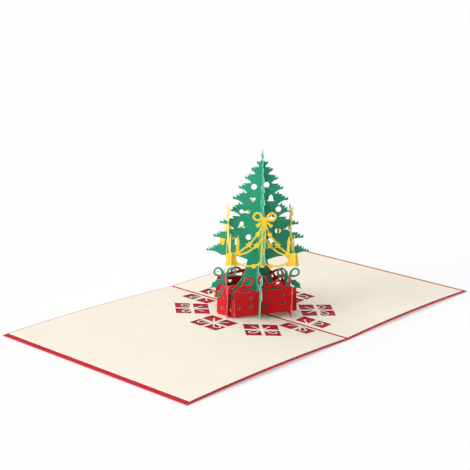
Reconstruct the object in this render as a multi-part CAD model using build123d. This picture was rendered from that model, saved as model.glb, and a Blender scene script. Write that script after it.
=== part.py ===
from build123d import *
import os
from math import acos, ceil, cos, degrees, pi, radians, sin, sqrt, tan

# Card laid open, spine along Y, front leaf at -X and back leaf at +X
card_width = 300.0
card_height = 150.0
spine_width = 3.0
cover_thickness = 0.5
page_thickness = 0.4
glue_line = 0.05
leaf_rise = 1.4
leaf_strips = 4
fore_margin = 4.0
edge_margin = 1.5

# Gift motifs cut out of the cream pages
motif_count = 8
motif_ring = 41.5
motif_side = 22.0
motif_ribbon = 2.2
motif_band = 1.1
motif_loop_length = 11.0
motif_loop_radius = 2.9
motif_tail_reach = 6.0
motif_tail_drop = 7.2

# Baubles cut out of the front leaf of the cover: share of the leaf from its middle, height, radius
bauble_spots = [(-0.35, -6.0, 13.0), (-0.15, -36.0, 18.0), (0.05, 4.0, 10.0)]
bauble_bar = 2.4
bauble_string = 1.0
string_top = 60.0

# Round cuts are made in straight strokes, so many to a full turn
bauble_stroke_count = 16
round_stroke_count = 7
ribbon_stroke_count = 6

# Pop-up sheets: the broad fir sheet runs along tree_azimuth, the deep one square to it
sheet = 0.45
slot_clearance = 0.08
tree_azimuth = -43.0
tree_split = 52.0

# Branches of the fir sheets
fir_top = 102.0
canopy_height = 60.3
canopy_reach = 33.6
tiers = 9
tier_crowding = 1.45
canopy_swell = 0.73
needle_spacing = 4.4
needle_height = 1.1
notch_depth = 0.62
notch_drop = 0.42
branch_hollow = 1.2
least_poke = 2.5
underside_reach = 24.0
underside_drop = 2.8
star_radius = 5.6
ornament = 2.1

# Trunk and base of the fir sheets, with a bow over each gift slot and a holly leaf beside it
trunk_reach = 6.6
trunk_top = 36.0
trunk_sweep = 3.0
root_reach = 17.0
root_height = 14.5
base_end = 4.5
bow_post = 3.4
bow_height = 24.3
bow_rise = 35.0
loop_length = 9.0
loop_radius = 3.4
ribbon_band = 1.3
holly_length = 11.0
holly_width = 4.4
holly_lobes = 3
holly_dip = 0.5
holly_fall = 40.0

# Gold garland sheets
garland_reach = 20.5
garland_drop = 2.4
garland_bow_length = 8.3
garland_bow_radius = 3.2
garland_bow_rise = 23.0
garland_bow_lift = 4.6
garland_tail = 6.6
tail_end = 2.4
tail_fall = 43.0
column_width = 2.8
swag_width = 1.0
upper_swag = 11.0
swag_sag = 2.4
bead = 1.6
small_star = 2.5
candle_inset = 4.2
candle_width = 1.8
candle_height = 9.0
flame = 3.6
bell_height = 9.5
bell_lip = 5.6
bell_shoulder = 3.4
garland_end = 3.2
bell_taper = 1.4

# Red gift sheets: the front one is turned and leans a little, and its flap lies along the spine
front_reach = 17.0
side_reach = 21.0
front_turn = 8.0
front_lean = 4.5
crease_at = 16.0
flap_turn = 47.0
gift_height = 16.0
flap_height = 10.5
side_height = 14.0
left_knot = 10.8
right_knot = 7.5
gift_end = 4.5
side_gift_end = 5.0
gift_lid = 4.5
lid_inset = 1.5
lid_window = 0.55
gift_loop_length = 9.7
gift_loop_radius = 3.7
high_loop = 40.0
low_loop = -5.0
flap_loop_length = 7.6
flap_loop_radius = 2.8
crease_lap = 3.0
gift_hole = 1.9
gift_slot = 7.7
corner_slot = 9.7
tongue_width = 4.5
tongue_spacing = 9.0

leaf_length = (card_width - spine_width) / 2
page_bottom = cover_thickness + glue_line
page_top = page_bottom + page_thickness + leaf_rise
gift_split = page_top + gift_slot
corner_split = page_top + corner_slot
canopy_bottom = fir_top - canopy_height - underside_drop
garland_bottom = canopy_bottom - garland_drop
bell_top = garland_bottom + bell_height
far = 2 * card_width


def closed(*points):
    """Face bounded by straight lines through the points."""
    return make_face(Polyline(*points, close=True))


def between(a, b, share, offset=0.0):
    """Point at a share of the way from a to b, moved to the left of that way by offset."""
    run = (b[0] - a[0], b[1] - a[1])
    length = sqrt(run[0] ** 2 + run[1] ** 2)
    x = a[0] + run[0] * share - run[1] / length * offset
    y = a[1] + run[1] * share + run[0] / length * offset
    return (x, y)


def bend(centre, radius, start, end):
    """Points of a ribbon's bend about a centre, from one angle to another."""
    strokes = ceil(abs(end - start) * ribbon_stroke_count / 360)
    points = []
    for k in range(strokes + 1):
        angle = radians(start + (end - start) * k / strokes)
        points.append((centre[0] + radius * cos(angle), centre[1] + radius * sin(angle)))
    return points


def bowed(start, end, depth, strokes):
    """Points of a line from start to end that is bowed to its left by depth."""
    points = []
    for k in range(strokes + 1):
        share = k / strokes
        points.append(between(start, end, share, 4 * depth * share * (1 - share)))
    return points


def leaf_height(x):
    """Height of a leaf's lower face above the table, at x from the middle of the spine."""
    share = (abs(x) - spine_width / 2) / leaf_length
    return 4 * leaf_rise * share * (1 - share)


def arch(z):
    """Points along a leaf's section, at z along the spine and the fore edge."""
    return bowed((spine_width / 2, z), (card_width / 2, z), leaf_rise, leaf_strips)


def leaf(z, thickness):
    """One arched leaf on the +X side, laid in flat strips, its lower face at z along the spine."""
    section = closed(*arch(z), *reversed(arch(z + thickness)))
    return extrude(Plane.XZ.offset(-card_height / 2) * section, card_height)


def band(points, width):
    """Strip of even width along a line of points."""
    left = []
    right = []
    for k, point in enumerate(points):
        behind = points[max(k - 1, 0)]
        ahead = points[min(k + 1, len(points) - 1)]
        run = (ahead[0] - behind[0], ahead[1] - behind[1])
        half = width / 2 / sqrt(run[0] ** 2 + run[1] ** 2)
        left.append((point[0] - run[1] * half, point[1] + run[0] * half))
        right.append((point[0] + run[1] * half, point[1] - run[0] * half))
    return closed(*left, *reversed(right))


def mirrored(points):
    """Mirror images of the points in the Y axis, for the way back along the other side."""
    return [(-x, y) for x, y in reversed(points)]


def both_sides(face):
    return face + mirror(face, about=Plane.YZ)


def disc(radius):
    return RegularPolygon(radius, round_stroke_count)


def star(radius):
    spikes = []
    for k in range(10):
        angle = pi / 2 + k * pi / 5
        r = radius if k % 2 == 0 else 0.45 * radius
        spikes.append((r * cos(angle), r * sin(angle)))
    return closed(*spikes)


def heart(size):
    lobe = [(0.95 * size, 0.25 * size), (0.55 * size, 0.8 * size)]
    return closed((0, -size), *lobe, (0, 0.4 * size), *mirrored(lobe))


def bell(size):
    flank = [(size, -0.7 * size), (0.6 * size, -0.2 * size), (0.5 * size, 0.6 * size), (0.2 * size, size)]
    return closed(*flank, *mirrored(flank))


def cane(size):
    """Candy cane: a straight stick with a hooked top."""
    hook = bend((-0.45 * size, 0.4 * size), 0.45 * size, 0, 180)
    return band([(0, -size)] + hook, 0.45 * size)


def teardrop(length, radius, start=0.0):
    """Ribbon loop outline: straight from its point at start to a round far end at length."""
    centre = length - radius
    flank = 180 - degrees(acos(radius / (centre - start)))
    return closed((start, 0), *bend((centre, 0), radius, -flank, flank))


def ribbon_loop(length, radius, width):
    return teardrop(length, radius) - teardrop(length - width, radius - width, 2 * width)


def bow(length, radius, width, right_rise, left_rise):
    """Two ribbon loops that rise to the right and left of a knot at the origin."""
    loop = ribbon_loop(length, radius, width)
    return disc(1.3 * width) + Rot(0, 0, right_rise) * loop + Rot(0, 0, 180 - left_rise) * loop


def bow_hole(size):
    """Small bow without loops, for a cut-out."""
    wing = teardrop(1.8 * size, 0.7 * size)
    return Rectangle(0.5 * size, 0.5 * size) + Rot(0, 0, 15) * wing + Rot(0, 0, 165) * wing


def upright(spot, azimuth, lean=0.0, z=0.0):
    """Plane of a standing sheet: its X runs along the azimuth, climbing by lean, and its Y points up."""
    a = radians(azimuth)
    climb = radians(lean)
    along = (cos(a) * cos(climb), sin(a) * cos(climb), sin(climb))
    return Plane(origin=(spot[0], spot[1], z), x_dir=along, z_dir=(sin(a), -cos(a), 0))


def stand(face, place):
    """Sheet cut to the face and stood up with its middle on the plane."""
    return extrude(place.offset(-sheet / 2) * face, sheet)


def slab(place):
    """The room that a sheet on this plane takes in a slot of another sheet."""
    return place * Box(far, far, sheet + 2 * slot_clearance)


def slot_above(place, split, top=far):
    """Slot for the sheet on this plane, from the split upward."""
    return slab(place) & Pos(0, 0, (split + top) / 2) * Box(far, far, top - split)


def slot_below(place, split):
    """Slot for the sheet on this plane, from the split downward."""
    return slab(place) & Pos(0, 0, split + slot_clearance - far / 2) * Box(far, far, far)


def turned(piece):
    """The same piece on the far side: half a turn about the tree's axis."""
    return Rot(0, 0, 180) * piece


def plan(broad, deep):
    """Point seen from above, at so much along the broad fir sheet and so much along the deep one."""
    a = radians(tree_azimuth)
    return (broad * cos(a) - deep * sin(a), broad * sin(a) + deep * cos(a))


# Places of the fir and garland sheets
deep_azimuth = tree_azimuth + 90
broad_place = upright((0, 0), tree_azimuth)
deep_place = upright((0, 0), deep_azimuth)
garland_front_place = upright(plan(0, -garland_reach), tree_azimuth)
garland_back_place = upright(plan(0, garland_reach), tree_azimuth)
garland_left_place = upright(plan(-garland_reach, 0), deep_azimuth)
garland_right_place = upright(plan(garland_reach, 0), deep_azimuth)

# Places of the gift sheets: the crease lies left of the deep fir sheet, and the flap swings back from it
front_azimuth = tree_azimuth + front_turn
gift_lift = page_top + crease_at * tan(radians(front_lean))
front_place = upright(plan(0, -front_reach), front_azimuth, front_lean, gift_lift)
back_place = upright(plan(0, front_reach), front_azimuth + 180, front_lean, gift_lift)
left_place = upright(plan(-side_reach, 0), deep_azimuth, 0, page_top)
right_place = upright(plan(side_reach, 0), deep_azimuth + 180, 0, page_top)
crease_broad = -crease_at * cos(radians(front_turn))
crease_deep = -front_reach - crease_at * sin(radians(front_turn))
flap_azimuth = tree_azimuth - flap_turn
flap_place = upright(plan(crease_broad, crease_deep), flap_azimuth, 0, page_top)
flap_back_place = upright(plan(-crease_broad, -crease_deep), flap_azimuth + 180, 0, page_top)

# Where the gift sheets cross: along the flap, along the straight stretch, and along the side sheets
flap_crossing = (side_reach + crease_broad) / cos(radians(flap_turn))
gift_crossing = side_reach / cos(radians(front_turn))
corner_front = crease_deep + flap_crossing * sin(radians(flap_turn))
corner_back = front_reach - side_reach * tan(radians(front_turn))


def canopy_width(drop):
    """Reach of the branches at a drop below the tip of the tree."""
    return canopy_reach * (drop / canopy_height) ** canopy_swell


def branch_tip(i):
    """Tip of the branch in tier i; one that would only just poke through the garland stops short of it."""
    drop = canopy_height * (i / tiers) ** tier_crowding
    reach = canopy_width(drop)
    if garland_reach - sheet < reach < garland_reach + least_poke:
        reach = garland_reach - sheet
    return (reach, fir_top - drop)


def branches():
    """Start, tip and lower notch of each branch on the right, from the top down."""
    found = []
    start = (0, fir_top)
    for i in range(1, tiers + 1):
        tip = branch_tip(i)
        notch = (underside_reach, canopy_bottom)
        if i < tiers:
            notch = (notch_depth * tip[0], between(tip, branch_tip(i + 1), notch_drop)[1])
        found.append((start, tip, notch))
        start = notch
    return found


def highest_branch(reach):
    """Height of the highest branch that passes through a sheet at this reach."""
    crossing = [(start, tip) for start, tip, notch in branches() if tip[0] > reach]
    start, tip = crossing[0]
    return between(start, tip, (reach - start[0]) / (tip[0] - start[0]))[1]


def branch_edge(start, tip):
    """Upper edge of a branch, set with needles."""
    height = needle_height * min(1, tip[0] / canopy_reach + 0.35)
    needles = max(2, round((tip[0] - start[0]) / needle_spacing))
    points = [start]
    for k in range(needles - 1):
        points.append(between(start, tip, (k + 0.6) / needles, height))
        points.append(between(start, tip, (k + 1) / needles))
    return points + [tip]


def fir_side(base_reach):
    """Right edge of a fir sheet from its tip to its foot: needled branches over round hollows."""
    points = [(0, fir_top)]
    for start, tip, notch in branches():
        depth = branch_hollow * min(1, tip[0] / canopy_reach + 0.2)
        points += branch_edge(start, tip)[1:] + bowed(tip, notch, -depth, 3)[1:]
    neck = (trunk_reach, trunk_top)
    root = (root_reach, root_height)
    points += bowed(points[-1], neck, -branch_hollow, 3)[1:] + bowed(neck, root, -trunk_sweep, 3)[1:]
    return points + [(base_reach, root_height), (base_reach, page_top)]


def fir_cutouts():
    """Ornament holes, each at a drop below the tip and at a share of the canopy's reach there."""
    spots = [
        (17.5, -0.34, disc(ornament)),
        (26.0, -0.28, heart(ornament)),
        (34.5, -0.44, bow_hole(ornament)),
        (43.0, -0.44, bell(1.2 * ornament)),
        (51.0, -0.22, disc(ornament)),
        (53.5, -0.48, cane(1.3 * ornament)),
        (16.0, 0.27, disc(ornament)),
        (25.0, 0.38, bell(1.2 * ornament)),
        (32.0, 0.57, disc(ornament)),
        (38.5, 0.32, star(1.3 * ornament)),
        (46.5, 0.45, disc(ornament)),
        (53.0, 0.28, heart(1.2 * ornament)),
    ]
    return [Pos(share * canopy_width(drop), fir_top - drop) * shape for drop, share, shape in spots]


def holly():
    """Pointed leaf with a scalloped edge, from its stalk at the origin along +X."""
    step = holly_length / holly_lobes
    upper = [(0, 0)]
    for k in range(holly_lobes):
        half = holly_width / 2 if k < holly_lobes - 1 else 0
        upper += bowed(upper[-1], ((k + 1) * step, half), -holly_dip, 2)[1:]
    lower = [(x, -y) for x, y in reversed(upper[1:-1])]
    return closed(*upper, *lower)


def fir_face(reach, topped):
    """Outline of one fir sheet, its base bows centred on the gift slots at reach."""
    right = fir_side(reach + base_end)
    face = closed(*right, *mirrored(right[1:]))
    if topped:
        face += Pos(0, fir_top + 0.35 * star_radius) * star(star_radius)
        face += Pos(0, fir_top) * Rectangle(0.4 * star_radius, 0.4 * star_radius)
    post_height = bow_height - root_height
    post = Pos(0, root_height + post_height / 2) * Rectangle(bow_post, post_height)
    foot = Pos(0, root_height) * Rectangle(bow_post, ribbon_band)
    loops = Pos(0, bow_height) * bow(loop_length, loop_radius, ribbon_band, bow_rise, bow_rise)
    leaf_out = Pos(bow_post / 3, bow_height - ribbon_band) * Rot(0, 0, -holly_fall) * holly()
    face += both_sides(Pos(reach, 0) * (post + foot + loops + leaf_out))
    return face - fir_cutouts()


# The garland's slit takes every branch that passes through it, and its bow sits over the slit
slit_top = highest_branch(garland_reach) + needle_height
slit_bottom = canopy_bottom - garland_drop / 2
garland_bow = slit_top + garland_bow_lift


def garland_half():
    """Right half of a garland sheet: three swags with their ornaments, and a candle on a bell."""
    inside = garland_reach - candle_inset
    high = garland_bow - ribbon_band
    middle = garland_bow - upper_swag
    low = garland_bottom + swag_sag + swag_width / 2
    ends = [(high, bell_top - swag_width / 2), (middle, bell_top - 2 * swag_width), (low, low)]
    swags = [bowed((0, start), (inside, end), -swag_sag, 3) for start, end in ends]
    tail_ends = [(garland_tail, tail_end / 2), (garland_tail, -tail_end / 2)]
    half = Pos(0, garland_bow) * Rot(0, 0, -tail_fall) * closed((0, 0), *tail_ends)
    for line in swags:
        half += band(line, swag_width)
    for spot in (swags[0][1], swags[2][1]):
        half += Pos(*spot) * disc(bead)
    for spot in (swags[0][2], swags[1][1]):
        half += Pos(*spot) * star(small_star)
    candle = [(candle_width / 2, 0), (candle_width / 2, candle_height)]
    flame_tip = (0, candle_height + flame)
    half += Pos(inside, bell_top - ribbon_band) * closed(*candle, flame_tip, *mirrored(candle))
    half += Pos(inside, bell_top - ribbon_band / 2) * Rectangle(2 * candle_width, ribbon_band)
    return half + garland_bell()


def garland_bell():
    """Bell at the end of a garland sheet, where it crosses its neighbour."""
    rim = garland_bottom + swag_width
    shoulder = (garland_reach - bell_shoulder, bell_top)
    lip = (garland_reach - bell_lip, rim)
    outer_lip = (garland_reach + garland_end, rim)
    outer_shoulder = (garland_reach + garland_end - bell_taper, bell_top)
    return closed(shoulder, between(shoulder, lip, 0.6, ribbon_band / 2), lip, outer_lip, outer_shoulder)


def garland_loops():
    return bow(garland_bow_length, garland_bow_radius, ribbon_band, garland_bow_rise, garland_bow_rise)


def garland_face():
    column_height = garland_bow - garland_bottom
    face = Pos(0, garland_bottom + column_height / 2) * Rectangle(column_width, column_height)
    face += Pos(0, garland_bow) * garland_loops()
    return face + both_sides(garland_half())


def gift(low, high, height, knot, loops):
    """Wrapped gift from low to high along its sheet, with a lid up to the knot of its bow."""
    top = height + gift_lid
    lid = [(low + lid_inset, height), (high - lid_inset, height)]
    lid += [(knot + ribbon_band, top), (knot - ribbon_band, top)]
    box = Pos((low + high) / 2, height / 2) * Rectangle(high - low, height)
    box += closed(*lid) + Pos(knot, top - ribbon_band) * loops
    left = (low + knot) / 2
    right = (knot + high) / 2
    holes = [
        Pos(left, 0.4 * height) * star(gift_hole),
        Pos(right, 0.4 * height) * star(gift_hole),
        Pos(right, 0.75 * height) * heart(0.75 * gift_hole),
    ]
    for side, end in ((-1, low), (1, high)):
        inner = knot + side * ribbon_band
        outer = knot + (end - knot) * lid_window
        holes.append(closed((inner, height), (outer, height), (inner, height + gift_lid * lid_window)))
    return box - holes


def front_gift_face():
    """Straight stretch of the front gift sheet, from the crease to its free end."""
    end = gift_crossing + gift_end
    left_loops = bow(gift_loop_length, gift_loop_radius, ribbon_band, high_loop, low_loop)
    right_loops = bow(gift_loop_length, gift_loop_radius, ribbon_band, low_loop, high_loop)
    left = gift(-crease_at, 0, gift_height, -left_knot, left_loops)
    return left + gift(0, end, gift_height, right_knot, right_loops)


def flap_face():
    """Creased end of the front gift sheet, seen from outside: it runs from past the crease to -X."""
    loops = bow(flap_loop_length, flap_loop_radius, ribbon_band, bow_rise, bow_rise)
    past_crease = Pos(0, flap_height / 2) * Rectangle(crease_lap, flap_height)
    return gift(-2 * flap_crossing, 0, flap_height, -flap_crossing, loops) + past_crease


def outside(place):
    """All that lies beyond the outer face of a sheet."""
    return place * Pos(0, 0, (far + sheet) / 2) * Box(far, far, far)


def tongue_spots():
    """Places of the two tongues along the flap, one each side of the crossing."""
    return [-flap_crossing - tongue_spacing / 2, -flap_crossing + tongue_spacing / 2]


def tongue(along):
    """Tongue under the flap, down through the page to the cover."""
    spot = flap_place.from_local_coords((along, 0, 0))
    bottom = page_bottom + leaf_height(spot.X)
    height = page_top + crease_lap - bottom
    face = Rectangle(tongue_width, height, align=(Align.CENTER, Align.MIN))
    return stand(Pos(along, bottom - page_top) * face, flap_place)


def tongue_slits(place):
    """Slits in a page round the tongues of the flap on this plane."""
    width = tongue_width + 2 * slot_clearance
    room = Box(width, 4 * page_top, sheet + 2 * slot_clearance)
    return [place * Pos(along, 0, 0) * room for along in tongue_spots()]


def folded_gifts():
    """Front gift sheet: straight stretch and flap meet in a crease, with tongues below the flap."""
    past_crease = Pos(-crease_at, gift_height / 2) * Rectangle(crease_lap, gift_height)
    lap = stand(past_crease, front_place) - outside(flap_place)
    straight = stand(front_gift_face(), front_place) + lap
    flap = stand(flap_face(), flap_place) - outside(front_place)
    return straight + [flap] + [tongue(along) for along in tongue_spots()]


def side_gift_face():
    """Gift sheet across the left end of the broad fir sheet: its front end lies at -X."""
    low = corner_front - side_gift_end
    high = corner_back + side_gift_end
    loops = bow(gift_loop_length, gift_loop_radius, ribbon_band, high_loop, low_loop)
    front_gift = gift(low, 0, side_height, low / 2, loops)
    return front_gift + gift(0, high, side_height, high / 2, mirror(loops, about=Plane.YZ))


def motif(ribbon):
    """Gift seen from above, cut in four quarters by its ribbon, with loops outward and tails inward."""
    side = (motif_side - motif_ribbon) / 2
    square = Rectangle(side, side, align=(Align.MIN, Align.MIN))
    shift = Pos((ribbon - motif_ribbon) / 2, 0)
    loop = shift * Rot(0, 0, bow_rise) * ribbon_loop(motif_loop_length, motif_loop_radius, motif_band)
    tail_end = (motif_tail_reach, -motif_tail_drop)
    tail = shift * band([(0, 0), tail_end], motif_band)
    outer = Pos(ribbon / 2, motif_ribbon / 2) * square - loop
    inner = Pos(ribbon / 2, -motif_ribbon / 2 - side) * square - tail
    return both_sides(outer + inner)


def motifs():
    """Prisms that cut the ring of gift motifs; those on the spine leave room for it."""
    prisms = []
    for k in range(motif_count):
        angle = k * 360 / motif_count
        x = motif_ring * cos(radians(angle))
        y = motif_ring * sin(radians(angle))
        on_spine = abs(x) < spine_width
        ribbon = spine_width + 2 * motif_ribbon if on_spine else motif_ribbon
        prisms.append(extrude(Pos(x, y) * Rot(0, 0, angle - 90) * motif(ribbon), 4 * page_top))
    return prisms


def page(slits):
    """Cream page on the back leaf, with the gift motifs and the slits for the tongues cut out."""
    length = leaf_length - fore_margin
    trim = Pos(spine_width / 2 + length / 2, 0, 0) * Box(length, card_height - 2 * edge_margin, far)
    return (leaf(page_bottom, page_thickness) & trim) - (motifs() + slits)


def bauble(radius, string):
    """Hanging ball cut in three bands, with its cap and string."""
    bars = [Pos(0, k * radius / 3) * Rectangle(2 * radius, bauble_bar) for k in (-1, 1)]
    cap = Pos(0, radius + 1.2 * bauble_bar) * Rectangle(2 * bauble_bar, bauble_bar)
    line = Pos(0, radius + 2.4 * bauble_bar + string / 2) * Rectangle(bauble_string, string)
    return (RegularPolygon(radius, bauble_stroke_count) - bars) + cap + line


def cover():
    """Red sheet scored twice at the spine, with hanging baubles cut out of its front leaf."""
    back = leaf(0, cover_thickness)
    spine = Box(spine_width, card_height, cover_thickness, align=(Align.CENTER, Align.CENTER, Align.MIN))
    middle = -(card_width + spine_width) / 4
    cuts = []
    for share, y, radius in bauble_spots:
        string = string_top - y - radius - 2.4 * bauble_bar
        cuts.append(extrude(Pos(middle + share * leaf_length, y) * bauble(radius, string), 4 * page_top))
    return (mirror(back, about=Plane.YZ) - cuts) + [spine, back]


# Fir sheets, slotted into each other and for the gift sheets
tree_broad = stand(fir_face(side_reach, False), broad_place) - [
    slot_above(deep_place, tree_split),
    slot_above(left_place, gift_split, trunk_top),
    slot_above(right_place, gift_split, trunk_top),
]
tree_deep = stand(fir_face(front_reach, True), deep_place) - [
    slot_below(broad_place, tree_split),
    slot_above(front_place, gift_split, trunk_top),
    slot_above(back_place, gift_split, trunk_top),
]

# Garland sheets: the front and back ones are threaded on the deep fir sheet, the side ones on the broad one
garland_front = stand(garland_face(), garland_front_place) - [
    slot_above(deep_place, slit_bottom, slit_top),
    slot_below(garland_left_place, bell_top - bell_height / 2),
    slot_below(garland_right_place, bell_top - bell_height / 2),
]
garland_left = stand(garland_face(), garland_left_place) - [
    slot_above(broad_place, slit_bottom, slit_top),
    slot_above(garland_front_place, bell_top - bell_height / 2),
    slot_above(garland_back_place, bell_top - bell_height / 2),
]

# Gift sheets: they straddle the fir sheets and lock into each other at the corners
gifts_front = folded_gifts() - [
    slot_below(deep_place, gift_split),
    slot_below(left_place, corner_split),
    slot_below(right_place, corner_split),
]
gifts_left = stand(side_gift_face(), left_place) - [
    slot_below(broad_place, gift_split),
    slot_above(flap_place, corner_split),
    slot_above(back_place, corner_split),
]

right_page = page(tongue_slits(flap_back_place))
nodes = {
    "cover": cover(),
    "left_page": turned(right_page),
    "right_page": right_page,
    "tree_broad": tree_broad,
    "tree_deep": tree_deep,
    "garland_front": garland_front,
    "garland_back": turned(garland_front),
    "garland_left": garland_left,
    "garland_right": turned(garland_left),
    "gifts_front": gifts_front,
    "gifts_back": turned(gifts_front),
    "gifts_left": gifts_left,
    "gifts_right": turned(gifts_left),
}

os.makedirs("parts", exist_ok=True)
for name, piece in nodes.items():
    export_step(piece, f"parts/{name}.step")
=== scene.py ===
from math import atan2, cos, radians, sin, tan

import bmesh
import bpy
from mathutils import Matrix, Vector
from mathutils.geometry import intersect_line_line_2d, intersect_point_line


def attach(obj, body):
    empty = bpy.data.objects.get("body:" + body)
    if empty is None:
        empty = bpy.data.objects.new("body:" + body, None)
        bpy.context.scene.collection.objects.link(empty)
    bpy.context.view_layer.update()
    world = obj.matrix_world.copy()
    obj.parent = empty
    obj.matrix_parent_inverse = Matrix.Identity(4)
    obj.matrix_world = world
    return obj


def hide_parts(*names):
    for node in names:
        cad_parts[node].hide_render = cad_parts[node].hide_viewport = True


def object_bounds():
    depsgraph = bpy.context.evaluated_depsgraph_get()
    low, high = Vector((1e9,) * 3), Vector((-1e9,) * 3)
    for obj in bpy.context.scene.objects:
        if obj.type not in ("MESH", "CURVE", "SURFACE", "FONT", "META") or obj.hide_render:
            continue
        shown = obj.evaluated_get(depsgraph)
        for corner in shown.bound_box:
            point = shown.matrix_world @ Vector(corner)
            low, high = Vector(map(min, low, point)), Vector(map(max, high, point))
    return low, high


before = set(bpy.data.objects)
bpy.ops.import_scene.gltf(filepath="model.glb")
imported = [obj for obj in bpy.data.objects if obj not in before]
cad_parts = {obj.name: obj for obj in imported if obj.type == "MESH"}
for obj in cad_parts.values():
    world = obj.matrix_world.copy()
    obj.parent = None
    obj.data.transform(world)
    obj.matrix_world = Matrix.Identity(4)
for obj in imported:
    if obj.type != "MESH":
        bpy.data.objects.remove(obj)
cad_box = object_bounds()

# Thickness of each sheet, in metres, and the arch of a leaf beside the flat strip at the spine
COVER = 0.0005
GLUE_LINE = 0.00005
PAGE = 0.0004
SHEET = 0.00045
SPINE_WIDTH = 0.003
LEAF_RISE = 0.0014
ARCH_STEP = 0.008

# Felt of the papers: sizes of its pattern, its share in the colour, and its relief
CLOUD_SCALE = 40.0
CLOUD_DETAIL = 3.0
FIBRE_SCALE = 2200.0
FIBRE_DETAIL = 4.0
FIBRE_ROUGHNESS = 0.65
FIBRE_DISTORTION = 0.6
FIBRE_SHARE = 0.45
DARK_TONE = 0.3
LIGHT_TONE = 0.7
PAPER_GLOSS = 0.15
PAPER_RELIEF = 0.00003
RELIEF_STRENGTH = 0.35

# Outlines of a solid: which points, faces and turns count as the same
WELD = 1e-6
SAME_PLACE = 5e-6
SAME_NORMAL = 0.9995
FACE_ALIGNMENT = 0.9
FACE_SHARE = 0.08
FLAT_TURN = radians(0.3)

# Round cuts: which corners belong to a curve, by their turns and strokes, and how they are eased
LEAST_TURN = radians(4)
GENTLE_TURN = radians(70)
TIGHT_TURN = radians(95)
TIGHT_RUN = 0.0018
LEAST_RUN = 0.00005
EASING_SHARE = 0.46
EASING_STEPS = 5
SMOOTH_TURN = radians(35)

# Needles along the upper edges of the branches; lean, foot and spare are shares of a needle
NEEDLE_SPACING = 0.0021
NEEDLE_LENGTH = 0.0019
NEEDLE_LEAN = 0.7
NEEDLE_FOOT = 0.15
NEEDLE_SPARE = 1.3
NEEDLE_ROOM = 0.0005
LEAST_UPWARD = 0.2
CANOPY_BOTTOM = 0.041
CANOPY_TOP = 0.1005
GARLAND_REACH = 0.0205
GARLAND_ROOM = 0.0006

# Camera of the photograph
PHOTO_PIXELS = 470
FOCAL_PIXELS = 1167.0
SENSOR_MM = 36.0
VIEW_AZIMUTH = radians(-50.89)
VIEW_ELEVATION = radians(14.41)
VIEW_ROLL = radians(2.64)
VIEW_TARGET = Vector((0.14665, 0.13902, 0.0))
VIEW_DISTANCE = 0.96699
CLIP_NEAR = 0.01
CLIP_FAR = 50.0

# Table and light
WHITE = (1, 1, 1, 1)
SKY_STRENGTH = 0.03
SKY_SLOPE = 1.3
SKY_TILT = 0.75
SKY_TILT_AZIMUTH = radians(-141)
KEY_AZIMUTH = radians(-107)
KEY_ELEVATION = radians(6)
KEY_SPREAD = radians(34)
KEY_STRENGTH = 2.8
FLOOR_SIZE = 30.0
FLOOR_DROP = 0.00003
FLOOR_WHITE = (0.99, 0.99, 0.99, 1)
FLOOR_ROUGHNESS = 0.9
FLOOR_GLOW = 0.5


def srgb(red, green, blue):
    """Linear colour from the 0 to 255 values of a swatch."""
    values = []
    for level in (red, green, blue):
        share = level / 255
        values.append(share / 12.92 if share <= 0.04045 else ((share + 0.055) / 1.055) ** 2.4)
    return (*values, 1)


# Shared effects of the papers

def paper_grain_group():
    """Felt of a paper: a cloudy tone across the sheet and fine fibres in its surface."""
    group = bpy.data.node_groups.new("paper_grain", "ShaderNodeTree")
    cloud_in = group.interface.new_socket("Cloud", in_out="INPUT", socket_type="NodeSocketFloat")
    cloud_in.default_value = CLOUD_SCALE
    fibre_in = group.interface.new_socket("Fibre", in_out="INPUT", socket_type="NodeSocketFloat")
    fibre_in.default_value = FIBRE_SCALE
    group.interface.new_socket("Tone", in_out="OUTPUT", socket_type="NodeSocketFloat")
    group.interface.new_socket("Height", in_out="OUTPUT", socket_type="NodeSocketFloat")
    nodes, links = group.nodes, group.links
    given = nodes.new("NodeGroupInput")
    made = nodes.new("NodeGroupOutput")
    place = nodes.new("ShaderNodeTexCoord")
    cloud = nodes.new("ShaderNodeTexNoise")
    cloud.inputs["Detail"].default_value = CLOUD_DETAIL
    fibre = nodes.new("ShaderNodeTexNoise")
    fibre.inputs["Detail"].default_value = FIBRE_DETAIL
    fibre.inputs["Roughness"].default_value = FIBRE_ROUGHNESS
    fibre.inputs["Distortion"].default_value = FIBRE_DISTORTION
    mix = nodes.new("ShaderNodeMix")
    mix.inputs["Factor"].default_value = FIBRE_SHARE
    links.new(place.outputs["Object"], cloud.inputs["Vector"])
    links.new(place.outputs["Object"], fibre.inputs["Vector"])
    links.new(given.outputs["Cloud"], cloud.inputs["Scale"])
    links.new(given.outputs["Fibre"], fibre.inputs["Scale"])
    links.new(cloud.outputs["Fac"], mix.inputs["A"])
    links.new(fibre.outputs["Fac"], mix.inputs["B"])
    links.new(mix.outputs["Result"], made.inputs["Tone"])
    links.new(fibre.outputs["Fac"], made.inputs["Height"])
    return group


PAPER_GRAIN = paper_grain_group()


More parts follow.
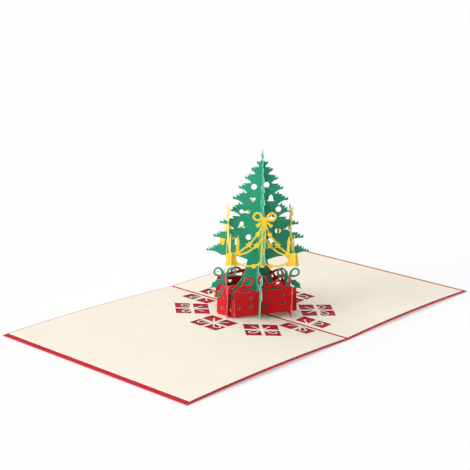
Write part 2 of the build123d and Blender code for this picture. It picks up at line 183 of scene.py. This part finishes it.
def paper(name, light, dark, edge, roughness):
    """Coloured paper: a tone between dark and light over its face, and another colour along each cut."""
    material = bpy.data.materials.new(name)
    material.use_nodes = True
    nodes, links = material.node_tree.nodes, material.node_tree.links
    shader = nodes["Principled BSDF"]
    shader.inputs["Roughness"].default_value = roughness
    shader.inputs["Specular IOR Level"].default_value = PAPER_GLOSS
    grain = nodes.new("ShaderNodeGroup")
    grain.node_tree = PAPER_GRAIN
    tone = nodes.new("ShaderNodeValToRGB")
    tone.color_ramp.elements[0].position = DARK_TONE
    tone.color_ramp.elements[0].color = dark
    tone.color_ramp.elements[1].position = LIGHT_TONE
    tone.color_ramp.elements[1].color = light
    cut = nodes.new("ShaderNodeAttribute")
    cut.attribute_name = "cut_edge"
    colour = nodes.new("ShaderNodeMix")
    colour.data_type = "RGBA"
    colour.inputs["B"].default_value = edge
    bump = nodes.new("ShaderNodeBump")
    bump.inputs["Strength"].default_value = RELIEF_STRENGTH
    bump.inputs["Distance"].default_value = PAPER_RELIEF
    links.new(grain.outputs["Tone"], tone.inputs["Fac"])
    links.new(tone.outputs["Color"], colour.inputs["A"])
    links.new(cut.outputs["Fac"], colour.inputs["Factor"])
    links.new(colour.outputs["Result"], shader.inputs["Base Color"])
    links.new(grain.outputs["Height"], bump.inputs["Height"])
    links.new(bump.outputs["Normal"], shader.inputs["Normal"])
    return material


# The cream page's cut walls are near-black red: partly the scorch of a laser cut, partly painted shade that
# darkens the motif windows and the line at the spine.
cream_paper = paper("cream_paper", light=srgb(252, 245, 230), dark=srgb(247, 237, 218),
                    edge=srgb(74, 24, 20), roughness=0.8)
red_card = paper("red_card", light=srgb(193, 34, 48), dark=srgb(178, 27, 40),
                 edge=srgb(238, 104, 118), roughness=0.62)
green_paper = paper("green_paper", light=srgb(61, 170, 136), dark=srgb(48, 155, 121),
                    edge=srgb(174, 226, 208), roughness=0.66)
gold_paper = paper("gold_paper", light=srgb(252, 216, 60), dark=srgb(244, 202, 52),
                   edge=srgb(252, 236, 150), roughness=0.45)
red_paper = paper("red_paper", light=srgb(206, 30, 36), dark=srgb(190, 22, 28),
                  edge=srgb(236, 138, 140), roughness=0.64)


# Sheets, cut along their outlines with the strokes of each round cut eased into a curve

def cut_sheet_tree():
    """Fills closed outlines in the XY plane, gives the sheet its thickness and stands it in its place."""
    tree = bpy.data.node_groups.new("cut_sheet", "GeometryNodeTree")
    sockets = {}

    def given_socket(name, kind, start=None):
        socket = tree.interface.new_socket(name, in_out="INPUT", socket_type=kind)
        if start is not None:
            socket.default_value = start
        sockets[name] = socket.identifier

    given_socket("Outlines", "NodeSocketGeometry")
    given_socket("Thickness", "NodeSocketFloat", SHEET)
    given_socket("Easing steps", "NodeSocketInt", EASING_STEPS)
    given_socket("Smooth turn", "NodeSocketFloat", SMOOTH_TURN)
    given_socket("Turn", "NodeSocketRotation")
    given_socket("Place", "NodeSocketVector")
    given_socket("Paper", "NodeSocketMaterial")
    tree.interface.new_socket("Sheet", in_out="OUTPUT", socket_type="NodeSocketGeometry")
    nodes, links = tree.nodes, tree.links
    given = nodes.new("NodeGroupInput")
    made = nodes.new("NodeGroupOutput")
    lines = nodes.new("GeometryNodeMeshToCurve")
    links.new(given.outputs["Outlines"], lines.inputs["Mesh"])

    # Each corner of a curve carries the radius that eases it; a sharp corner carries none
    ease = nodes.new("GeometryNodeInputNamedAttribute")
    ease.data_type = "FLOAT"
    ease.inputs["Name"].default_value = "ease"
    eased = nodes.new("ShaderNodeMath")
    eased.operation = "GREATER_THAN"
    eased.inputs[1].default_value = 0.0
    steps = nodes.new("ShaderNodeMath")
    steps.operation = "MULTIPLY"
    links.new(ease.outputs["Attribute"], eased.inputs[0])
    links.new(eased.outputs[0], steps.inputs[0])
    links.new(given.outputs["Easing steps"], steps.inputs[1])
    count = nodes.new("ShaderNodeMath")
    count.operation = "MAXIMUM"
    count.inputs[1].default_value = 1.0
    links.new(steps.outputs[0], count.inputs[0])
    fillet = nodes.new("GeometryNodeFilletCurve")
    fillet.mode = "POLY"
    fillet.inputs["Limit Radius"].default_value = True
    links.new(lines.outputs["Curve"], fillet.inputs["Curve"])
    links.new(ease.outputs["Attribute"], fillet.inputs["Radius"])
    links.new(count.outputs[0], fillet.inputs["Count"])

    # Lower face, walls and upper face
    fill = nodes.new("GeometryNodeFillCurve")
    fill.mode = "TRIANGLES"
    links.new(fillet.outputs["Curve"], fill.inputs["Curve"])
    rise = nodes.new("GeometryNodeExtrudeMesh")
    rise.mode = "FACES"
    rise.inputs["Individual"].default_value = False
    links.new(fill.outputs["Mesh"], rise.inputs["Mesh"])
    links.new(given.outputs["Thickness"], rise.inputs["Offset Scale"])
    cut = nodes.new("GeometryNodeStoreNamedAttribute")
    cut.data_type = "FLOAT"
    cut.domain = "FACE"
    cut.inputs["Name"].default_value = "cut_edge"
    links.new(rise.outputs["Mesh"], cut.inputs["Geometry"])
    links.new(rise.outputs["Side"], cut.inputs["Value"])
    under = nodes.new("GeometryNodeFlipFaces")
    links.new(fill.outputs["Mesh"], under.inputs["Mesh"])
    joined = nodes.new("GeometryNodeJoinGeometry")
    links.new(under.outputs["Mesh"], joined.inputs["Geometry"])
    links.new(cut.outputs["Geometry"], joined.inputs["Geometry"])
    weld = nodes.new("GeometryNodeMergeByDistance")
    weld.inputs["Distance"].default_value = WELD
    links.new(joined.outputs["Geometry"], weld.inputs["Geometry"])

    # Curves shade smooth, and the rim of the sheet stays sharp
    angle = nodes.new("GeometryNodeInputMeshEdgeAngle")
    sharp = nodes.new("ShaderNodeMath")
    sharp.operation = "GREATER_THAN"
    links.new(angle.outputs["Unsigned Angle"], sharp.inputs[0])
    links.new(given.outputs["Smooth turn"], sharp.inputs[1])
    shade = nodes.new("GeometryNodeSetShadeSmooth")
    shade.domain = "EDGE"
    shade.inputs["Shade Smooth"].default_value = False
    links.new(weld.outputs["Geometry"], shade.inputs["Geometry"])
    links.new(sharp.outputs[0], shade.inputs["Selection"])

    stand = nodes.new("GeometryNodeTransform")
    links.new(shade.outputs["Geometry"], stand.inputs["Geometry"])
    links.new(given.outputs["Turn"], stand.inputs["Rotation"])
    links.new(given.outputs["Place"], stand.inputs["Translation"])
    real = nodes.new("GeometryNodeRealizeInstances")
    dressed = nodes.new("GeometryNodeSetMaterial")
    links.new(stand.outputs["Geometry"], real.inputs["Geometry"])
    links.new(real.outputs["Geometry"], dressed.inputs["Geometry"])
    links.new(given.outputs["Paper"], dressed.inputs["Material"])
    links.new(dressed.outputs["Geometry"], made.inputs["Sheet"])
    return tree, sockets


CUT_SHEET, CUT_SOCKETS = cut_sheet_tree()


def merged_copy(node):
    """Mesh of a node's solid, copied and welded along its edges."""
    mesh = bmesh.new()
    mesh.from_mesh(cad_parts[node].data)
    bmesh.ops.remove_doubles(mesh, verts=mesh.verts, dist=WELD)
    mesh.normal_update()
    return mesh


def broad_faces(mesh):
    """Faces of a sheet's outer side, one group with its normal for each flat part of the sheet."""
    groups = []
    for face in mesh.faces:
        for group in groups:
            if group[0].dot(face.normal) > SAME_NORMAL:
                group[1].append(face)
                break
        else:
            groups.append((face.normal.copy(), [face]))
    areas = [sum(face.calc_area() for face in faces) for normal, faces in groups]
    kept = []
    for area, (normal, faces) in sorted(zip(areas, groups), key=lambda entry: -entry[0]):
        facing_other_way = any(abs(normal.dot(other)) > SAME_NORMAL for other, _ in kept)
        if area > FACE_SHARE * sum(areas) and not facing_other_way:
            kept.append((normal, faces))
    return kept


def outline_loops(faces):
    """Closed loops of points round a group of faces, walked in the faces' own direction."""
    group = set(faces)
    onward = {}
    for face in faces:
        for corner in face.loops:
            if not any(other in group and other is not face for other in corner.edge.link_faces):
                onward.setdefault(corner.vert, []).append(corner.link_loop_next.vert)
    loops = []
    while onward:
        start = next(iter(onward))
        walk = [start]
        while True:
            ways = onward[walk[-1]]
            following = ways.pop()
            if not ways:
                del onward[walk[-1]]
            if following is start:
                break
            walk.append(following)
        loops.append([vert.co.copy() for vert in walk])
    return loops


def turn_at(loop, k):
    """Signed turn of a flat loop at its point k."""
    before = loop[k] - loop[k - 1]
    after = loop[(k + 1) % len(loop)] - loop[k]
    return atan2(before.x * after.y - before.y * after.x, before.dot(after))


def straightened(loop):
    """The loop without the points that lie on a straight line between their neighbours."""
    return [loop[k] for k in range(len(loop)) if abs(turn_at(loop, k)) > FLAT_TURN]


def easing(loop):
    """Radius for each corner: those of a curve turn gently, the same way as a neighbour."""
    ahead = [(k + 1) % len(loop) for k in range(len(loop))]
    runs = [(loop[ahead[k]] - loop[k]).length for k in range(len(loop))]
    turns = [turn_at(loop, k) for k in range(len(loop))]
    gentle = []
    for k, turn in enumerate(turns):
        limit = TIGHT_TURN if max(runs[k - 1], runs[k]) < TIGHT_RUN else GENTLE_TURN
        gentle.append(LEAST_TURN < abs(turn) < limit and min(runs[k - 1], runs[k]) > LEAST_RUN)
    radii = []
    for k, turn in enumerate(turns):
        curved = any(gentle[m] and turns[m] * turn > 0 for m in (k - 1, ahead[k]))
        eased = EASING_SHARE * min(runs[k - 1], runs[k]) / tan(abs(turn) / 2)
        radii.append(eased if gentle[k] and curved else 0.0)
    return radii


def is_hole(loop):
    """Whether a loop runs clockwise, as the outline of a hole does."""
    return sum(loop[k - 1].x * loop[k].y - loop[k].x * loop[k - 1].y for k in range(len(loop))) < 0


def meets_garland(points):
    """Whether a needle with these corners would reach a garland sheet, which stands across the branches."""
    reaches = [abs(point.x) for point in points]
    return min(reaches) - GARLAND_ROOM < GARLAND_REACH < max(reaches) + GARLAND_ROOM


def has_room(tip, feet, lines):
    """Whether a needle clears these lines, with some spare at its tip; it may start on one of them."""
    for a, b in lines:
        share = intersect_point_line(tip, a, b)[1]
        if (tip - a.lerp(b, min(max(share, 0), 1))).length < NEEDLE_ROOM:
            return False
    middle = (feet[0] + feet[1]) / 2
    reach = middle + (tip - middle) * NEEDLE_SPARE
    for foot in feet:
        start = foot + (middle - foot) * NEEDLE_FOOT + (reach - foot) * NEEDLE_FOOT
        if any(intersect_line_line_2d(start.xy, reach.xy, a.xy, b.xy) for a, b in lines):
            return False
    return True


def needle_fringe(loop):
    """Sets small needles along the upper edges of the branches; the sheet's Y points up."""
    if is_hole(loop):
        return loop
    fringed = []
    needle_sides = []
    edges = [(loop[k], loop[(k + 1) % len(loop)]) for k in range(len(loop))]
    for k, (point, ahead) in enumerate(edges):
        run = ahead - point
        outward = Vector((run.y, -run.x, 0)).normalized()
        fringed.append(point)
        needles = round(run.length / NEEDLE_SPACING)
        height = (point.y + ahead.y) / 2
        if needles < 1 or outward.y < LEAST_UPWARD or not CANOPY_BOTTOM < height < CANOPY_TOP:
            continue
        for n in range(needles):
            lean = NEEDLE_LEAN if run.x * point.x > 0 else 1 - NEEDLE_LEAN
            tip = point + run * (n + lean) / needles + outward * NEEDLE_LENGTH
            feet = [point + run * foot / needles for foot in (n, n + 1)]
            others = edges[:k] + edges[k + 1:] + needle_sides
            if has_room(tip, feet, others) and not meets_garland([tip] + feet):
                fringed.append(tip)
                needle_sides += [(feet[0], tip), (tip, feet[1])]
            if n < needles - 1:
                fringed.append(feet[1])
    return fringed


def cut_part(loops, thickness, turn, place, material):
    """Mesh of one flat part of a sheet, from its outlines in the XY plane."""
    data = bpy.data.meshes.new("outlines")
    points = []
    lines = []
    radii = []
    for loop in loops:
        first = len(points)
        points += [(point.x, point.y, 0) for point in loop]
        lines += [(first + k, first + (k + 1) % len(loop)) for k in range(len(loop))]
        radii += easing(loop)
    data.from_pydata(points, lines, [])
    ease = data.attributes.new("ease", "FLOAT", "POINT")
    ease.data.foreach_set("value", radii)
    outlines = bpy.data.objects.new("outlines", data)
    bpy.context.scene.collection.objects.link(outlines)
    cutter = outlines.modifiers.new("cut_sheet", "NODES")
    cutter.node_group = CUT_SHEET
    cutter[CUT_SOCKETS["Thickness"]] = thickness
    cutter[CUT_SOCKETS["Turn"]] = turn.to_euler()
    cutter[CUT_SOCKETS["Place"]] = place
    cutter[CUT_SOCKETS["Paper"]] = material
    depsgraph = bpy.context.evaluated_depsgraph_get()
    part = bpy.data.meshes.new_from_object(outlines.evaluated_get(depsgraph))
    bpy.data.objects.remove(outlines)
    bpy.data.meshes.remove(data)
    return part


def finish_sheet(node, parts, material):
    """One piece from the flat parts of a sheet, standing for its node."""
    mesh = bmesh.new()
    for part in parts:
        mesh.from_mesh(part)
    data = parts[0]
    mesh.to_mesh(data)
    mesh.free()
    for part in parts[1:]:
        bpy.data.meshes.remove(part)
    data.name = node + "_sheet"
    data.materials.clear()
    data.materials.append(material)
    piece = bpy.data.objects.new(node + "_sheet", data)
    bpy.context.scene.collection.objects.link(piece)
    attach(piece, "root")
    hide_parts(node)


def slants(faces, normal):
    """Corners where a slot runs through the sheet at a slant, with the shift to the sheet's other side."""
    shifts = []
    for vert in {vert for face in faces for vert in face.verts}:
        for edge in vert.link_edges:
            step = edge.other_vert(vert).co - vert.co
            through = step.dot(normal)
            walls = [face.normal for face in edge.link_faces]
            if abs(through + SHEET) > SAME_PLACE or walls[0].dot(walls[-1]) > SAME_NORMAL:
                continue
            shift = step - normal * through
            if shift.length > SAME_PLACE:
                shifts.append((vert.co + normal * through, shift))
    return shifts


def slant_slots(part, normal, shifts):
    """Moves the inner corners of slanted slots, and fills the sheet's inner face anew."""
    mesh = bmesh.new()
    mesh.from_mesh(part)
    inner = [face for face in mesh.faces if face.normal.dot(normal) < -FACE_ALIGNMENT]
    for vert in {vert for face in inner for vert in face.verts}:
        for corner, shift in shifts:
            if (vert.co - corner).length < SAME_PLACE:
                vert.co += shift
                break
    bmesh.ops.delete(mesh, geom=inner, context="FACES")
    rim = [edge for edge in mesh.edges if edge.is_boundary]
    bmesh.ops.triangle_fill(mesh, edges=rim, normal=-normal, use_beauty=True)
    bmesh.ops.recalc_face_normals(mesh, faces=mesh.faces)
    mesh.to_mesh(part)
    mesh.free()


def standing_sheet(node, material, needled=False):
    """Upright sheet, flat or creased, cut along the outlines of its node."""
    mesh = merged_copy(node)
    parts = []
    for normal, faces in broad_faces(mesh):
        across = Vector((0, 0, 1)).cross(normal).normalized()
        turn = Matrix((across, normal.cross(across), normal)).transposed()
        depth = normal.dot(faces[0].verts[0].co)
        loops = []
        for loop in outline_loops(faces):
            flat = straightened([turn.inverted() @ point for point in loop])
            for point in flat:
                point.z = 0
            loops.append(needle_fringe(flat) if needled else flat)
        part = cut_part(loops, SHEET, turn, normal * (depth - SHEET), material)
        shifts = slants(faces, normal)
        if shifts:
            slant_slots(part, normal, shifts)
        parts.append(part)
    mesh.free()
    finish_sheet(node, parts, material)


def arch_height(share):
    """Height of the arch, a parabola, at a share of the leaf's length from the spine."""
    return 4 * LEAF_RISE * share * (1 - share)


def trim_edges(mesh):
    """Leaves the outer edges of a page, cut clean by a blade, in the colour of its face, without the scorch
    and painted shade of its inner cuts.
    """
    cut = mesh.faces.layers.float["cut_edge"]
    reach_x = max(abs(vert.co.x) for vert in mesh.verts)
    reach_y = max(abs(vert.co.y) for vert in mesh.verts)
    for face in mesh.faces:
        outer_x = all(reach_x - abs(vert.co.x) < WELD for vert in face.verts)
        outer_y = all(reach_y - abs(vert.co.y) < WELD for vert in face.verts)
        if outer_x or outer_y:
            face[cut] = 0.0


def lying_leaf(node, material, bottom, thickness, trimmed=False):
    """Leaf or cover, cut flat along the outlines of its node and bent to its arch."""
    mesh = merged_copy(node)
    upper = [face for face in mesh.faces if face.normal.z > FACE_ALIGNMENT]
    loops = []
    for loop in outline_loops(upper):
        flat = [Vector((point.x, point.y, 0)) for point in loop]
        loops.append(straightened(flat))
    mesh.free()
    part = cut_part(loops, thickness, Matrix.Identity(3), Vector((0, 0, bottom)), material)
    mesh = bmesh.new()
    mesh.from_mesh(part)
    length = cad_box[1][0] - SPINE_WIDTH / 2
    steps = round(length / ARCH_STEP)
    for k in range(steps):
        for x in (-SPINE_WIDTH / 2 - length * k / steps, SPINE_WIDTH / 2 + length * k / steps):
            whole = mesh.verts[:] + mesh.edges[:] + mesh.faces[:]
            bmesh.ops.bisect_plane(mesh, geom=whole, plane_co=(x, 0, 0), plane_no=(1, 0, 0), dist=WELD)
    for vert in mesh.verts:
        share = (abs(vert.co.x) - SPINE_WIDTH / 2) / length
        vert.co.z += arch_height(min(max(share, 0), 1))
    if trimmed:
        trim_edges(mesh)
    mesh.to_mesh(part)
    mesh.free()
    finish_sheet(node, [part], material)


lying_leaf("cover", red_card, 0.0, COVER)
for node in ("left_page", "right_page"):
    lying_leaf(node, cream_paper, COVER + GLUE_LINE, PAGE, trimmed=True)
for node in ("tree_broad", "tree_deep"):
    standing_sheet(node, green_paper, needled=True)
for side in ("front", "back", "left", "right"):
    standing_sheet("garland_" + side, gold_paper)
    standing_sheet("gifts_" + side, red_paper)


# Table, light and camera

def seen_white(nodes, links):
    """1 for what the eye sees, straight, mirrored or through glass, and 0 for light on the object."""
    ray = nodes.new("ShaderNodeLightPath")
    total = None
    for kind in ("Is Camera Ray", "Is Glossy Ray", "Is Transmission Ray"):
        if total is None:
            total = ray.outputs[kind]
            continue
        both = nodes.new("ShaderNodeMath")
        both.operation = "MAXIMUM"
        links.new(total, both.inputs[0])
        links.new(ray.outputs[kind], both.inputs[1])
        total = both.outputs[0]
    return total


def white_table():
    """Plain floor that looks white, and takes the soft shadow of the card."""
    material = bpy.data.materials.new("white_table")
    material.use_nodes = True
    nodes, links = material.node_tree.nodes, material.node_tree.links
    shader = nodes["Principled BSDF"]
    shader.inputs["Base Color"].default_value = FLOOR_WHITE
    shader.inputs["Roughness"].default_value = FLOOR_ROUGHNESS
    shader.inputs["Specular IOR Level"].default_value = 0.0
    glow = nodes.new("ShaderNodeEmission")
    share = nodes.new("ShaderNodeMath")
    share.operation = "MULTIPLY"
    share.inputs[1].default_value = FLOOR_GLOW
    mix = nodes.new("ShaderNodeMixShader")
    links.new(seen_white(nodes, links), share.inputs[0])
    links.new(share.outputs[0], mix.inputs["Fac"])
    links.new(shader.outputs["BSDF"], mix.inputs[1])
    links.new(glow.outputs["Emission"], mix.inputs[2])
    links.new(mix.outputs["Shader"], nodes["Material Output"].inputs["Surface"])
    data = bpy.data.meshes.new("table")
    half = FLOOR_SIZE / 2
    corners = [(-half, -half), (half, -half), (half, half), (-half, half)]
    data.from_pydata([(x, y, -FLOOR_DROP) for x, y in corners], [], [(0, 1, 2, 3)])
    data.materials.append(material)
    table = bpy.data.objects.new("table", data)
    bpy.context.scene.collection.objects.link(table)


def away(azimuth, elevation):
    """Direction from the object towards an azimuth and elevation round it."""
    return Vector((sin(azimuth) * cos(elevation), -cos(azimuth) * cos(elevation), sin(elevation)))


def white_sky():
    """White to the eye, and a soft light on the object, brighter from overhead and from the left."""
    world = bpy.data.worlds.new("white_sky")
    world.use_nodes = True
    nodes, links = world.node_tree.nodes, world.node_tree.links
    lit = nodes["Background"]
    lit.inputs["Color"].default_value = WHITE
    place = nodes.new("ShaderNodeTexCoord")
    parts = nodes.new("ShaderNodeSeparateXYZ")
    height = nodes.new("ShaderNodeMath")
    height.operation = "ABSOLUTE"
    tilt = nodes.new("ShaderNodeVectorMath")
    tilt.operation = "DOT_PRODUCT"
    tilt.inputs[1].default_value = away(SKY_TILT_AZIMUTH, 0) * SKY_TILT
    slope = nodes.new("ShaderNodeMath")
    slope.operation = "MULTIPLY_ADD"
    slope.inputs[1].default_value = SKY_SLOPE
    level = nodes.new("ShaderNodeMath")
    level.operation = "MAXIMUM"
    level.inputs[1].default_value = SKY_STRENGTH
    links.new(place.outputs["Generated"], parts.inputs["Vector"])
    links.new(place.outputs["Generated"], tilt.inputs[0])
    links.new(parts.outputs["Z"], height.inputs[0])
    links.new(height.outputs[0], slope.inputs[0])
    links.new(tilt.outputs["Value"], slope.inputs[2])
    links.new(slope.outputs[0], level.inputs[0])
    links.new(level.outputs[0], lit.inputs["Strength"])
    seen = nodes.new("ShaderNodeBackground")
    seen.inputs["Color"].default_value = WHITE
    mix = nodes.new("ShaderNodeMixShader")
    links.new(seen_white(nodes, links), mix.inputs["Fac"])
    links.new(lit.outputs["Background"], mix.inputs[1])
    links.new(seen.outputs["Background"], mix.inputs[2])
    links.new(mix.outputs["Shader"], nodes["World Output"].inputs["Surface"])
    bpy.context.scene.world = world


def soft_light():
    """Broad sun, low on the left."""
    data = bpy.data.lights.new("key", "SUN")
    data.energy = KEY_STRENGTH
    data.angle = KEY_SPREAD
    lamp = bpy.data.objects.new("key", data)
    direction = away(KEY_AZIMUTH, KEY_ELEVATION)
    lamp.location = direction
    lamp.rotation_mode = "QUATERNION"
    lamp.rotation_quaternion = (-direction).to_track_quat("-Z", "Y")
    bpy.context.scene.collection.objects.link(lamp)


def photo_camera():
    """Camera fitted to the photograph, rolled a little about its line of sight."""
    data = bpy.data.cameras.new("camera")
    data.sensor_width = SENSOR_MM
    data.lens = FOCAL_PIXELS * SENSOR_MM / PHOTO_PIXELS
    data.clip_start = CLIP_NEAR
    data.clip_end = CLIP_FAR
    camera = bpy.data.objects.new("camera", data)
    back = away(VIEW_AZIMUTH, VIEW_ELEVATION)
    right = (-back).cross(Vector((0, 0, 1))).normalized()
    up = right.cross(-back)
    across = right * cos(VIEW_ROLL) + up * sin(VIEW_ROLL)
    upward = up * cos(VIEW_ROLL) - right * sin(VIEW_ROLL)
    turn = Matrix((across, upward, back)).transposed().to_4x4()
    camera.matrix_world = Matrix.Translation(VIEW_TARGET + back * VIEW_DISTANCE) @ turn
    bpy.context.scene.collection.objects.link(camera)
    bpy.context.scene.camera = camera


white_table()
white_sky()
soft_light()
photo_camera()
bpy.context.scene.view_settings.view_transform = "Standard"
